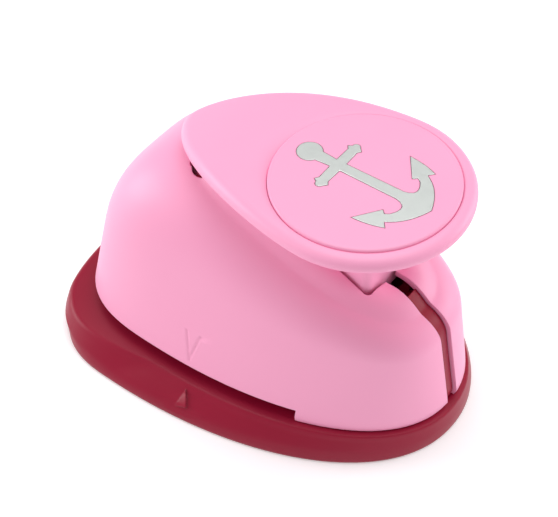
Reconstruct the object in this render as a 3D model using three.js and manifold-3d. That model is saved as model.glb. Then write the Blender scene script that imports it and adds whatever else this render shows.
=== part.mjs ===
// Large lever craft punch: a stamped-out anchor is cut from a sheet pushed into the side slot.
// Millimetres, +Z up, +X towards the wide end of the lever, origin at the middle of the footprint.
import * as THREE from 'three';
import { mergeVertices } from 'three/addons/utils/BufferGeometryUtils.js';
import Module from 'manifold-3d';

const wasm = await Module();
wasm.setup();

// ---- driving dimensions ----
const R = 22; // radius of the round pad on the lever; the whole punch is proportioned from it
const GAP = 0.3; // clearance kept between neighbouring pieces
const WALL = 2.2; // wall of the moulded shells
const SLOT_HALF = 2.1; // half the width of the slot down the cover's nose
const STRIP_DEPTH = 1; // how far the strip in that slot lies below the cover's surface

const FLARE = 0.05 * R; // how far the tray's back spreads beyond its foot
const RAMP_LIP = 0.08 * R; // how far the ramp's round lip leans in
const DISC_X = 1.015 * R + FLARE / 2; // middle of the round pad
const DISC_Z = 3.15 * R; // top of the round pad
const DISC_RISE = 0.0288; // slope of the lever's top, rising towards the front
const PUNCH_X = DISC_X - 1.12 * R; // middle of the cutting shape

const BED_Z = 8.0; // paper bed, level with the top of the tray and of the die
const SLOT = 4.3; // height of the paper slot
const GUIDE_Z = BED_Z + SLOT; // underside of the guide plate and of the cover's raised edge
const SLOT_END_X = DISC_X + 0.1 * R; // where the paper slot stops
const HINGE_X = DISC_X - 1.82 * R;
const HINGE_Z = 49.5;
const PIN_R = 2;
const PIN_HALF = 11.7; // half the length of the hinge pin

// Outlines in plan: centre, half-width, length ahead and behind, and how square each end is.
const TRAY_FOOT = { cx: DISC_X - 2.2 * R, w: 1.96 * R, f: 3.67 * R, r: 1.3 * R, nf: 2.1, nr: 2.75 };
const TRAY_RIM = { cx: DISC_X - 1.75 * R, w: 1.64 * R, f: 3.18 * R, r: 1.62 * R, nf: 2.12, nr: 3 };
const COVER_FOOT = { cx: DISC_X - 1.75 * R, w: 1.596 * R, f: 3.15 * R, r: 1.58 * R, nf: 2.12, nr: 3 };
const COVER_CREASE = { cx: DISC_X - 1.764 * R, w: 1.06 * R, f: 2.9 * R, r: 1.18 * R, nf: 3, nr: 3.2 };
const COVER_CROWN = { cx: DISC_X - 1.01 * R, w: 0.41 * R, f: 1.427 * R, r: 0.982 * R, nf: 2.2, nr: 2.4 };
const LEVER_EDGE = { cx: DISC_X, w: 1.155 * R, f: 1.155 * R, r: 2.37 * R, nf: 2, nr: 1.66 };

// Metal pieces of the die set
const PLATE = { x0: -27, x1: 30, halfWidth: 17, corner: 4 };
const DIE_FLOOR_Z = 3.8;
const GUIDE_TOP_Z = GUIDE_Z + 4.5;
const POST_Y = 13;
const POST_R = 2;
const SPRING_R = 3.2;
const SPRING_WIRE = 1.1;
const SPRING_TURNS = 5;
const HOLDER = { half: 20.5, halfWidth: 13, z0: 24.3, z1: 28.3 }; // casting that carries the punch
const COLUMN = { half: 8, halfWidth: 6, top: 43.7 }; // part of the plunger that the lever pushes on
const WING = { half: 5, halfWidth: 17.4, z0: 33.3, z1: 37.3 }; // arms of the plunger, one for each spring

// Inner frame and foot
const CHEEK_Y = 18;
const CHEEK_T = 2.3;
const TOWER = { y0: 9.2, y1: 11, r: 3.5 };
const NOTCH = { y: 7.6, r: 3.8 }; // round notches in the cover beside the hinge
const FOOT = { x0: 25, x1: 38.5, halfWidth: 20.3, top: 20 };

// The lever's hollow leg
const LEG = { x0: HINGE_X - 3.8, x1: DISC_X + 0.38 * R, halfWidth: 8.8, wall: 1.8, bottom: 37 };
const LEG_TOP = [[LEG.x1, 66], [0, 65.5], [-12, 63.5], [LEG.x0, 60]]; // stays inside the lever's plate
const RIB_R = 3; // round foot of the rib that pushes on the plunger
const RIB_Z = COLUMN.top + GAP + RIB_R;

const LEVER_SKIN = 2.6; // plate thickness of the lever
const LEVER_RIM = 4.4; // depth of its turned-down rim

const BASE_SCREWS = [[34.5, -15.5], [34.5, -5.5], [34.5, 5.5], [34.5, 15.5]];
const DIE_SCREW = { x: 27.8, y: 13.5 };
const SCREW_HOLE_R = 1.7;
const HEAD_HOLE_R = 3.4;

// ---- materials ----
const plastic = (color) => new THREE.MeshStandardMaterial({ color, roughness: 0.42, metalness: 0 });
const pink = () => plastic('#f9a9cc');
const crimson = () => plastic('#8f1d3a');
const steel = () => new THREE.MeshStandardMaterial({ color: '#c4c7cb', roughness: 0.3, metalness: 1 });
const zinc = () => new THREE.MeshStandardMaterial({ color: '#9fa3a8', roughness: 0.5, metalness: 1 });
const foil = () => new THREE.MeshStandardMaterial({ color: '#cfd3d0', roughness: 0.25, metalness: 1 });

// ---- solids ----
function solid(geometry) {
  const bare = geometry.index ? geometry.toNonIndexed() : geometry.clone();
  bare.deleteAttribute('normal');
  bare.deleteAttribute('uv');
  const merged = mergeVertices(bare, 1e-4);
  const vertProperties = new Float32Array(merged.attributes.position.array);
  const corners = merged.index.array;
  const triVerts = [];
  for (let i = 0; i < corners.length; i += 3) {
    const [a, b, c] = [corners[i], corners[i + 1], corners[i + 2]];
    if (a !== b && b !== c && c !== a) triVerts.push(a, b, c);
  }
  return new wasm.Manifold(new wasm.Mesh({ numProp: 3, vertProperties, triVerts: new Uint32Array(triVerts) }));
}

function geometryOf(body) {
  const { vertProperties, triVerts } = body.getMesh();
  const geometry = new THREE.BufferGeometry();
  geometry.setAttribute('position', new THREE.BufferAttribute(new Float32Array(vertProperties), 3));
  geometry.setIndex(Array.from(triVerts));
  return geometry;
}

const object = new THREE.Group();

function piece(name, body, material, group = object) {
  const mesh = new THREE.Mesh(geometryOf(body), material);
  mesh.name = name;
  group.add(mesh);
  return mesh;
}

const join = (...bodies) => bodies.reduce((a, b) => a.add(b));
const cut = (body, ...tools) => tools.reduce((a, b) => a.subtract(b), body);

function box(x0, x1, y0, y1, z0, z1) {
  const geometry = new THREE.BoxGeometry(x1 - x0, y1 - y0, z1 - z0);
  geometry.translate((x0 + x1) / 2, (y0 + y1) / 2, (z0 + z1) / 2);
  return solid(geometry);
}

function post(x, y, r, z0, z1, sides = 20) {
  const geometry = new THREE.CylinderGeometry(r, r, z1 - z0, sides).rotateX(Math.PI / 2);
  return solid(geometry.translate(x, y, (z0 + z1) / 2));
}

function crossPin(x, z, r, y0, y1, sides = 20) {
  const geometry = new THREE.CylinderGeometry(r, r, y1 - y0, sides);
  return solid(geometry.translate(x, (y0 + y1) / 2, z));
}

function slab(shape, z0, z1, curveSegments = 6) {
  const geometry = new THREE.ExtrudeGeometry(shape, { depth: z1 - z0, bevelEnabled: false, curveSegments });
  return solid(geometry.translate(0, 0, z0));
}

// A side view drawn in X and Z, given a thickness in Y
function sideSlab(points, y0, y1) {
  const shape = new THREE.Shape(points.map(([x, z]) => new THREE.Vector2(x, z)));
  const geometry = new THREE.ExtrudeGeometry(shape, { depth: y1 - y0, bevelEnabled: false });
  return solid(geometry.rotateX(Math.PI / 2).translate(0, y1, 0));
}

function roundedRect(x0, x1, halfWidth, r) {
  const shape = new THREE.Shape();
  shape.moveTo(x0 + r, -halfWidth);
  shape.lineTo(x1 - r, -halfWidth);
  shape.absarc(x1 - r, -halfWidth + r, r, -Math.PI / 2, 0);
  shape.lineTo(x1, halfWidth - r);
  shape.absarc(x1 - r, halfWidth - r, r, 0, Math.PI / 2);
  shape.lineTo(x0 + r, halfWidth);
  shape.absarc(x0 + r, halfWidth - r, r, Math.PI / 2, Math.PI);
  shape.lineTo(x0, -halfWidth + r);
  shape.absarc(x0 + r, -halfWidth + r, r, Math.PI, 1.5 * Math.PI);
  return shape;
}

// ---- smooth shells: a sphere whose rings are moved to the sections of the shell ----
function ringed(place, around, rings) {
  const geometry = new THREE.SphereGeometry(1, around, rings).rotateX(Math.PI / 2);
  const position = geometry.attributes.position;
  const point = new THREE.Vector3();
  for (let i = 0; i < position.count; i += 1) {
    point.fromBufferAttribute(position, i);
    const ring = Math.round((Math.acos(THREE.MathUtils.clamp(point.z, -1, 1)) / Math.PI) * rings);
    const angle = Math.atan2(point.y, point.x);
    position.setXYZ(i, ...place(angle, ring));
  }
  return solid(geometry);
}

// Point of a superellipse outline, drawn in by inset
function onOutline(o, angle, inset = 0) {
  const [c, s] = [Math.cos(angle), Math.sin(angle)];
  const n = c >= 0 ? o.nf : o.nr;
  const reach = (Math.abs(c) ** n + Math.abs(s) ** n) ** (-1 / n);
  return [o.cx + ((c >= 0 ? o.f : o.r) - inset) * reach * c, (o.w - inset) * reach * s];
}

const mix = (a, b, t) => a.map((value, i) => value + (b[i] - value) * t);

// Height of the cover's top line: up from the back, level, then down to the nose
function ridgeHeight(x) {
  const ahead = (x - DISC_X) / R;
  const slopes = [2.18 + 0.334 * (ahead + 3.32), 2.543, 1.87 - 0.57 * (ahead - 0.417)];
  const softness = 0.109;
  const sum = slopes.reduce((total, z) => total + Math.exp(-z / softness), 0);
  return -softness * Math.log(sum) * R;
}

const creaseHeight = (x) => (1.846 - 0.21 * ((x - DISC_X) / R)) * R;

// One point of the cover: ring 0 is the top, the last ring the lower edge
const COVER_RINGS = 14;
function coverPoint(angle, ring, inset, foot) {
  const crown = onOutline(COVER_CROWN, angle, inset * 0.4);
  if (ring === 0) return [COVER_CROWN.cx, 0, ridgeHeight(COVER_CROWN.cx) - inset];
  if (ring === COVER_RINGS) return [COVER_FOOT.cx, 0, foot];
  if (ring === 1) return [...mix([COVER_CROWN.cx, 0], crown, 0.55), ridgeHeight(crown[0]) - inset];
  const top = [...crown, ridgeHeight(crown[0]) - inset];
  const creasePlan = onOutline(COVER_CREASE, angle, inset);
  const crease = [...creasePlan, creaseHeight(creasePlan[0]) - inset * 0.7];
  const edge = [...onOutline(COVER_FOOT, angle, inset), foot];
  const back = (1 - Math.cos(angle)) / 2;
  const below = mix(crease, edge, 0.16 + 0.34 * back);
  const above = mix(crease, top, 0.35 + 0.55 * back);
  if (ring <= 4) {
    const t = (4 - ring) / 2;
    const point = mix(above, top, t);
    point[2] += 0.35 * R * t * (1 - t);
    return point;
  }
  if (ring <= 10) {
    const t = (ring - 4) / 6;
    return mix(mix(above, crease, t), mix(crease, below, t), t);
  }
  return mix(below, edge, (ring - 10) / (COVER_RINGS - 11));
}

// ---- the anchor: half of its outline, from the ring end to the crown ----
const ANCHOR_SHIFT = 0.006; // places the anchor along the pad
function anchorHalf() {
  const half = new THREE.Path();
  half.moveTo(-0.84, 0);
  half.absarc(-0.7, 0, 0.14, Math.PI, 0.55, true);
  half.lineTo(-0.4, 0.06);
  half.lineTo(-0.395, 0.26);
  half.lineTo(-0.425, 0.3);
  half.lineTo(-0.385, 0.325);
  half.absarc(-0.34, 0.33, 0.045, Math.PI * 0.9, Math.PI * 0.1, true);
  half.lineTo(-0.255, 0.3);
  half.lineTo(-0.285, 0.26);
  half.lineTo(-0.28, 0.06);
  half.lineTo(0.42, 0.065);
  half.quadraticCurveTo(0.6, 0.1, 0.48, 0.275);
  half.lineTo(0.433, 0.309);
  half.lineTo(0.388, 0.269);
  half.lineTo(0.192, 0.537);
  half.quadraticCurveTo(0.39, 0.53, 0.541, 0.463);
  half.lineTo(0.487, 0.401);
  half.quadraticCurveTo(0.69, 0.29, 0.785, 0);
  return half.getPoints(4);
}

// Both halves at full size, with every side moved outwards by grow
function anchorShape(grow = 0) {
  const half = anchorHalf().map((p) => new THREE.Vector2((p.x + ANCHOR_SHIFT) * R, p.y * R));
  const upper = half.filter((p, i) => i === 0 || p.distanceTo(half[i - 1]) > 0.05);
  const lower = upper.slice(1, -1).reverse().map((p) => new THREE.Vector2(p.x, -p.y));
  const loop = [...upper, ...lower];
  const moved = loop.map((p, i) => {
    const before = p.clone().sub(loop[(i + loop.length - 1) % loop.length]).normalize();
    const after = loop[(i + 1) % loop.length].clone().sub(p).normalize();
    const out = new THREE.Vector2(-before.y - after.y, before.x + after.x).normalize();
    const lean = Math.max(0.5, out.dot(new THREE.Vector2(-before.y, before.x)));
    return p.clone().addScaledVector(out, grow / lean);
  });
  return new THREE.Shape(moved);
}

// ---- tray ----
// Side of the tray: 0 is the rim, 1 the foot. At the back the rim spreads out into a ramp with a round lip.
function traySide(angle, down, inset, lean = 0) {
  const ramp = Math.min(1, Math.max(0, -1.25 * Math.cos(angle)));
  const spread = ramp * FLARE * Math.min(1, 3 * (1 - down));
  const foot = onOutline(TRAY_FOOT, angle, inset - spread);
  const ramped = onOutline(TRAY_FOOT, angle, inset - spread + lean);
  return mix(mix(onOutline(TRAY_RIM, angle, inset), ramped, ramp), foot, down);
}

function baseTray() {
  const rings = [
    { z: BED_Z, down: 0, inset: 0.9, lean: RAMP_LIP }, { z: BED_Z - 0.9, down: 0, inset: 0, lean: RAMP_LIP / 2 },
    { z: 0.2 * R, down: 0.66, inset: 0 },
    { z: 0.09 * R, down: 0.95, inset: 0 }, { z: 0.03 * R, down: 1, inset: 0 }, { z: 0, down: 1, inset: 0.6 },
  ];
  const place = (angle, ring) => {
    if (ring === 0) return [TRAY_RIM.cx, 0, BED_Z];
    if (ring > rings.length) return [TRAY_RIM.cx, 0, 0];
    const { z, down, inset, lean } = rings[ring - 1];
    return [...traySide(angle, down, inset, lean), z];
  };
  const hollow = (angle, ring) => {
    if (ring === 0) return [TRAY_RIM.cx, 0, BED_Z - 2];
    if (ring === 3) return [TRAY_RIM.cx, 0, -1];
    return [...traySide(angle, ring - 1, 2.6), ring === 1 ? BED_Z - 2 : -1];
  };
  const core = slab(roundedRect(PLATE.x0 - 2.5, 41, PLATE.halfWidth + 2.5, 3), -2, BED_Z);
  const skin = cut(ringed(place, 52, 7), cut(ringed(hollow, 36, 3), core));
  const pocketEdge = roundedRect(PLATE.x0 - GAP, PLATE.x1 + GAP, PLATE.halfWidth + GAP, PLATE.corner);
  const pocket = slab(pocketEdge, DIE_FLOOR_Z - GAP, 12, 4);
  const window = slab(roundedRect(PUNCH_X - 19.5, PUNCH_X + 19.5, 13.2, 4), -1, 5, 4);
  const holes = BASE_SCREWS.map(([x, y]) => screwHole(x, y, 12));
  const dieHoles = [-1, 1].map((side) => screwHole(DIE_SCREW.x, side * DIE_SCREW.y, 12));
  return cut(skin, pocket, window, ...holes, ...dieHoles);
}

function screwHole(x, y, top) {
  return join(post(x, y, SCREW_HOLE_R, 0, top, 12), post(x, y, HEAD_HOLE_R, -1, 2.7, 16));
}

// ---- die set ----
function plate(z0, z1) {
  const blank = slab(roundedRect(PLATE.x0, PLATE.x1, PLATE.halfWidth, PLATE.corner), z0, z1, 4);
  const hole = slab(anchorShape(GAP), z0 - 1, z1 + 1).translate([PUNCH_X, 0, 0]);
  const screws = [-1, 1].map((side) => post(DIE_SCREW.x, side * DIE_SCREW.y, SCREW_HOLE_R, z0 - 1, z1 + 1, 12));
  return cut(blank, hole, ...screws);
}

function guidePlate() {
  const posts = [-1, 1].map((side) => post(PUNCH_X, side * POST_Y, POST_R + GAP, GUIDE_Z + 1, GUIDE_TOP_Z + 1));
  return cut(plate(GUIDE_Z, GUIDE_TOP_Z), ...posts);
}

function dieSpacer(side) {
  const y = [side * 10, side * 16.5].sort((a, b) => a - b);
  const block = box(25.6, 29.8, ...y, BED_Z + GAP, GUIDE_Z - GAP);
  return cut(block, post(DIE_SCREW.x, side * DIE_SCREW.y, SCREW_HOLE_R, 0, 20, 16));
}

function punchHolder() {
  const { half, halfWidth, z0, z1 } = HOLDER;
  const blank = slab(roundedRect(PUNCH_X - half, PUNCH_X + half, halfWidth, PLATE.corner), z0, z1);
  const notches = [-1, 1].map((side) => post(PUNCH_X, side * POST_Y, SPRING_R + 1.6, z0 - 1, z1 + 1));
  return cut(blank, ...notches);
}

function plungerBlock() {
  const { half, halfWidth, top } = COLUMN;
  const column = box(PUNCH_X - half, PUNCH_X + half, -halfWidth, halfWidth, HOLDER.z1 + GAP, top);
  const wings = slab(roundedRect(PUNCH_X - WING.half, PUNCH_X + WING.half, WING.halfWidth, 3), WING.z0, WING.z1);
  const holes = [-1, 1].map((side) => post(PUNCH_X, side * POST_Y, POST_R + GAP, WING.z0 - 1, WING.z1 + 1));
  return cut(join(column, wings), ...holes);
}

// Compression spring: a wire swept along a helix
class Helix extends THREE.Curve {
  constructor(radius, z0, z1, turns) {
    super();
    Object.assign(this, { radius, z0, z1, turns });
  }

  getPoint(t, target = new THREE.Vector3()) {
    const turn = t * this.turns * 2 * Math.PI;
    const [x, y] = [this.radius * Math.cos(turn), this.radius * Math.sin(turn)];
    return target.set(x, y, this.z0 + (this.z1 - this.z0) * t);
  }
}

function returnSpring(side) {
  const half = SPRING_WIRE / 2;
  const path = new Helix(SPRING_R, GUIDE_TOP_Z + GAP + half, WING.z0 - GAP - half, SPRING_TURNS);
  const section = new THREE.Shape();
  section.absarc(0, 0, half, 0, 2 * Math.PI);
  const options = { steps: SPRING_TURNS * 12, curveSegments: 3, bevelEnabled: false, extrudePath: path };
  return solid(new THREE.ExtrudeGeometry(section, options).translate(PUNCH_X, side * POST_Y, 0));
}

function screw(x, y, z1) {
  const profile = [[0, 0.6], [2.2, 0.6], [3, 1.3], [3, 2.4], [1.4, 2.4], [1.4, z1 - 1], [0, z1]];
  const geometry = new THREE.LatheGeometry(profile.map(([r, z]) => new THREE.Vector2(r, z)), 14);
  return solid(geometry.rotateX(Math.PI / 2)).translate([x, y, 0]);
}

// ---- inside the cover: a foot with the spine behind the front slot, and a frame with the hinge towers ----
const insideCover = () => ringed((angle, ring) => coverPoint(angle, ring, WALL + 0.8, BED_Z + GAP), 40, COVER_RINGS);

function frontFoot() {
  const block = box(FOOT.x0, FOOT.x1, -FOOT.halfWidth, FOOT.halfWidth, BED_Z + GAP, FOOT.top);
  const room = box(0, PLATE.x1 + GAP, -CHEEK_Y + 0.4, CHEEK_Y - 0.4, 0, GUIDE_TOP_Z + GAP);
  const legRoom = box(0, PLATE.x1 + 1, -LEG.halfWidth - 1, LEG.halfWidth + 1, 0, FOOT.top + 1);
  const wall = box(LEG.x1 + 0.7, LEG.x1 + 3.2, -13, 13, FOOT.top - 1, 33);
  const body = join(cut(block, room, legRoom), wall, frontSpine()).intersect(insideCover());
  return cut(body, ...BASE_SCREWS.map(([x, y]) => post(x, y, SCREW_HOLE_R, 0, 16.5, 12)));
}

function innerFrame() {
  const cheekSide = [
    [-27, GUIDE_Z], [FOOT.x0 - GAP, GUIDE_Z], [FOOT.x0 - GAP, FOOT.top + GAP], [30, FOOT.top + GAP],
    [29, 30], [24, 36], [-24, 36], [-27, 33],
  ];
  const cheeks = [-1, 1].map((side) => {
    const y = [side * CHEEK_Y, side * (CHEEK_Y + CHEEK_T)].sort((a, b) => a - b);
    return sideSlab(cheekSide, ...y);
  });
  const bridge = box(HINGE_X - 9.5, HINGE_X + 6.5, -CHEEK_Y - 0.5, CHEEK_Y + 0.5, 32.5, 36);
  const bridgeRoom = box(HINGE_X - 6.5, HINGE_X + 4, -TOWER.y0 + 0.5, TOWER.y0 - 0.5, 30, 38);
  const towers = [-1, 1].map((side) => {
    const y = [side * TOWER.y0, side * TOWER.y1].sort((a, b) => a - b);
    const leg = sideSlab([
      [HINGE_X - 5.5, 35], [HINGE_X + 5.5, 35], [HINGE_X + TOWER.r, HINGE_Z], [HINGE_X - TOWER.r, HINGE_Z],
    ], ...y);
    return join(leg, crossPin(HINGE_X, HINGE_Z, TOWER.r, ...y));
  });
  const openings = [-1, 1].map((side) => post(HINGE_X, side * NOTCH.y, NOTCH.r - GAP, 40, 60));
  const lower = join(...cheeks, cut(bridge, bridgeRoom)).intersect(insideCover());
  const body = lower.add(join(...towers).intersect(join(insideCover(), ...openings)));
  return cut(body, crossPin(HINGE_X, HINGE_Z, PIN_R + GAP, -20, 20));
}

// The spine follows the inside of the cover's nose
function frontSpine() {
  const profile = [
    [33, BED_Z + GAP], [60, BED_Z + GAP], [60, 27], [38.6, 42], [37.2, 37.4], [33, 32.5],
  ];
  return sideSlab(profile, -3.6, 3.6);
}

// A strip set on the spine, which fills the slot in the cover's nose
function slotStrip() {
  const profile = [[36, BED_Z + GAP], [60, BED_Z + GAP], [60, 27], [38.6, 42], [37.2, 37.4], [36, 36]];
  const near = ringed((angle, ring) => coverPoint(angle, ring, STRIP_DEPTH, BED_Z + GAP), 40, COVER_RINGS);
  const spine = ringed((angle, ring) => coverPoint(angle, ring, WALL + 0.5, BED_Z + GAP), 40, COVER_RINGS);
  return cut(sideSlab(profile, -SLOT_HALF + GAP, SLOT_HALF - GAP).intersect(near), spine);
}

// ---- cover ----
function bodyCover() {
  const outer = ringed((angle, ring) => coverPoint(angle, ring, 0, BED_Z + GAP), 48, COVER_RINGS);
  const inner = ringed((angle, ring) => coverPoint(angle, ring, WALL, BED_Z - 2), 36, COVER_RINGS);
  const raised = box(-80, SLOT_END_X, -60, 60, 0, GUIDE_Z);
  const slot = box(30, 70, -SLOT_HALF, SLOT_HALF, 0, 70);
  const legRoom = slab(roundedRect(LEG.x0 - 0.9, LEG.x1 + 0.8, LEG.halfWidth + 0.8, 1.6), 37, 70);
  const notches = [-1, 1].map((side) => post(HINGE_X, side * NOTCH.y, NOTCH.r, 40, 70));
  return cut(outer, inner, raised, slot, legRoom, ...notches);
}

// ---- lever ----
const leverTop = (x) => {
  const ahead = (x - DISC_X) / R;
  const droop = ahead < -0.4 ? 0.062 * (-ahead - 0.4) ** 2.3 : 0;
  return (3.13 + DISC_RISE * ahead - droop) * R;
};

function leverPlate() {
  // drawn in from the edge, and below the top surface
  const rings = [
    [0.6 * R, 0], [0.16 * R, 0], [1.7, 0.15], [0.6, 0.7], [0, 1.7], [0.3, 3.2],
    [1.4, LEVER_RIM], [2.6, LEVER_RIM], [3.4, LEVER_SKIN],
  ];
  const place = (angle, ring) => {
    if (ring === 0) return [LEVER_EDGE.cx, 0, leverTop(LEVER_EDGE.cx)];
    if (ring > rings.length) return [LEVER_EDGE.cx, 0, leverTop(LEVER_EDGE.cx) - LEVER_SKIN];
    const [inset, depth] = rings[ring - 1];
    const [x, y] = onOutline(LEVER_EDGE, angle, inset);
    return [x, y, leverTop(x) - depth];
  };
  return ringed(place, 52, rings.length + 1);
}

function lever() {
  const { x0, x1, halfWidth, wall, bottom } = LEG;
  const side = [
    [x0, HINGE_Z], [HINGE_X - 2, HINGE_Z - 4.2], [-11, HINGE_Z - 5], [15, 44], [22, bottom], [x1, bottom],
    ...LEG_TOP,
  ];
  const inside = [
    [x0 + wall, 40], [0, 30], [x1 - wall, 30], [x1 - wall, 63.2], [0, 63], [-12, 61.5], [x0 + wall, 58.6],
  ];
  const outer = sideSlab(side, -halfWidth, halfWidth);
  const hollow = sideSlab(inside, -halfWidth + wall, halfWidth - wall);
  const rib = join(
    box(PUNCH_X - RIB_R, PUNCH_X + RIB_R, -halfWidth + 1, halfWidth - 1, RIB_Z, 63.5),
    crossPin(PUNCH_X, RIB_Z, RIB_R, -halfWidth + 1, halfWidth - 1),
  );
  const recess = post(0, 0, R + 0.35, -1.3, 5, 48);
  const tilted = recess.rotate([0, -THREE.MathUtils.radToDeg(Math.atan(DISC_RISE)), 0]);
  const body = cut(join(leverPlate(), cut(outer, hollow), rib), tilted.translate([DISC_X, 0, DISC_Z - 0.7]));
  return cut(body, crossPin(HINGE_X, HINGE_Z, PIN_R + GAP, -20, 20));
}

function leverDisc() {
  const profile = [[0, -1.6], [R - 0.4, -1.6], [R, -1.2], [R, -0.55], [R - 0.55, 0], [0, 0]];
  const pad = solid(new THREE.LatheGeometry(profile.map(([r, z]) => new THREE.Vector2(r, z)), 48).rotateX(Math.PI / 2));
  return cut(pad, slab(anchorShape(GAP), -0.7, 1));
}

// ---- assembly ----
piece('base_tray', baseTray(), crimson());
piece('die_plate', plate(DIE_FLOOR_Z, BED_Z), zinc());
piece('guide_plate', guidePlate(), zinc());
piece('inner_frame', innerFrame(), crimson());
piece('front_foot', frontFoot(), crimson());
piece('slot_strip', slotStrip(), crimson());
piece('body_cover', bodyCover(), pink());
piece('hinge_pin', crossPin(HINGE_X, HINGE_Z, PIN_R, -PIN_HALF, PIN_HALF), steel());

for (const [name, side] of [['left', 1], ['right', -1]]) {
  piece(`die_spacer_${name}`, dieSpacer(side), zinc());
  piece(`die_screw_${name}`, screw(DIE_SCREW.x, side * DIE_SCREW.y, 15.5), steel());
  piece(`guide_post_${name}`, post(PUNCH_X, side * POST_Y, POST_R, GUIDE_Z + 1 + GAP, 41), steel());
  piece(`return_spring_${name}`, returnSpring(side), steel());
}
BASE_SCREWS.forEach(([x, y], i) => piece(`base_screw_${i + 1}`, screw(x, y, 16), steel()));

piece('punch_die', slab(anchorShape(), GUIDE_Z + GAP, 24).translate([PUNCH_X, 0, 0]), steel());
piece('punch_holder', punchHolder(), zinc());
piece('plunger_block', plungerBlock(), plastic('#3a3a3e'));

piece('lever', lever(), pink());
const padGroup = new THREE.Group();
padGroup.position.set(DISC_X, 0, DISC_Z);
padGroup.rotation.y = -Math.atan(DISC_RISE);
object.add(padGroup);
piece('lever_disc', leverDisc(), pink(), padGroup);
piece('anchor_emblem', slab(anchorShape(), -GAP - 0.1, 0.15), foil(), padGroup);

export default object;
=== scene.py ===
# %% [markdown]
# # A lever craft punch
#
# A hand tool that stamps a shape out of paper. Paper goes into the slot between the crimson tray and the
# pink cover, a press on the round pad turns the lever about its pin, a rib in the lever's hollow leg pushes
# the plunger down, and the punch cuts an anchor that falls out underneath.
#
# The measured model of the tool comes in first, and nothing of it is moved. Shells that need soft moulded
# edges are then built again on the same curves, and every part gets a surface made of nodes.

# %% Load the measured model
import math
from collections import namedtuple

import bmesh
import bpy
from mathutils import Matrix, Vector


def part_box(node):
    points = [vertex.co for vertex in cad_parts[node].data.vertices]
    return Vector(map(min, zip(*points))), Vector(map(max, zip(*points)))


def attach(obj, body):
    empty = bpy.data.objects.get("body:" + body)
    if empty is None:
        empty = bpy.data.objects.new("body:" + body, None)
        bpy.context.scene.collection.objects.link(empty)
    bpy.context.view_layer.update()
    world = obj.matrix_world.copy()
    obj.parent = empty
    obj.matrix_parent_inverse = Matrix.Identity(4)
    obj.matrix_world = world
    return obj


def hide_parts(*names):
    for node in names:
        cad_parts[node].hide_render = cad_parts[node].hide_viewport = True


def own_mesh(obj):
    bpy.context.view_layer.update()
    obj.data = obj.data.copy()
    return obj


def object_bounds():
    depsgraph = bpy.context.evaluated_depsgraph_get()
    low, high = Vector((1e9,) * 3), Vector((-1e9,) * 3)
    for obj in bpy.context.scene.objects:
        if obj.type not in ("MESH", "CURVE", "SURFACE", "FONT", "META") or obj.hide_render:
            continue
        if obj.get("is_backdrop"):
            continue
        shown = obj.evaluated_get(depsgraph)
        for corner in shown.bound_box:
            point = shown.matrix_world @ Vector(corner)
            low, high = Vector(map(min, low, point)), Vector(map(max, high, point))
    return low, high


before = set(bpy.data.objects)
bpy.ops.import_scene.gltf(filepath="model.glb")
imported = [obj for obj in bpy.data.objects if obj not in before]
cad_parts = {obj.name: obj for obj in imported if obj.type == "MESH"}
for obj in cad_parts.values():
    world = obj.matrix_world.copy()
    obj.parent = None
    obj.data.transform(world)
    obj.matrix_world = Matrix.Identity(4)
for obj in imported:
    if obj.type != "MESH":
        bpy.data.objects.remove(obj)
cad_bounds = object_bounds()

# %% [markdown]
# ## Sizes
#
# The whole tool is drawn from the radius of the round pad, so that radius is read from the model first.
# The heights of the paper slot and the place of the hinge are read in the same way. Everything is in metres,
# and `MM` turns a size in millimetres into metres.

# %% Driving sizes
MM = 0.001
pad_low, pad_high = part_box("lever_disc")
pin_low, pin_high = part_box("hinge_pin")
R = (pad_high.y - pad_low.y) / 2
PAD_X = (pad_low.x + pad_high.x) / 2
PAD_Z = 3.15 * R
PAD_SLOPE = 0.0288
BED_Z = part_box("die_plate")[1].z
GUIDE_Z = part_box("guide_plate")[0].z
GUIDE_TOP_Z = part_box("guide_plate")[1].z
HINGE_X = (pin_low.x + pin_high.x) / 2
HINGE_Z = (pin_low.z + pin_high.z) / 2
PUNCH_X = sum(corner.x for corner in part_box("punch_holder")) / 2
GAP = 0.3 * MM
WALL = 2.2 * MM
print(f"pad radius {R / MM:.1f} mm, paper slot {(GUIDE_Z - BED_Z) / MM:.1f} mm")

# %% [markdown]
# ## Small tools
#
# A moulded part starts as a closed shell: rings of points from a pole on top to a pole below. A straight
# part starts as a prism. Two shells are joined or cut with a Boolean, and `settle` turns what the modifiers
# show into a plain mesh.

# %% Mesh helpers
def new_object(name, points, faces):
    mesh = bpy.data.meshes.new(name)
    mesh.from_pydata([tuple(point) for point in points], [], faces)
    mesh.validate()
    item = bpy.data.objects.new(name, mesh)
    bpy.context.scene.collection.objects.link(item)
    return item


def settle(item):
    bpy.context.view_layer.update()
    seen = item.evaluated_get(bpy.context.evaluated_depsgraph_get())
    mesh = bpy.data.meshes.new_from_object(seen)
    item.modifiers.clear()
    item.data = mesh
    return item


def ring_shell(name, place, around, rows):
    """Closed shell of rings: place(angle, row) gives a point, and the first and last rows are poles."""
    points = [place(0, 0)]
    for row in range(1, rows):
        points += [place(math.tau * k / around, row) for k in range(around)]
    points.append(place(0, rows))
    faces = []
    for k in range(around):
        n = (k + 1) % around
        faces.append((0, 1 + k, 1 + n))
        for row in range(rows - 2):
            upper, lower = 1 + row * around, 1 + (row + 1) * around
            faces.append((upper + k, lower + k, lower + n, upper + n))
        last = 1 + (rows - 2) * around
        faces.append((len(points) - 1, last + n, last + k))
    return new_object(name, points, faces)


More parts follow.
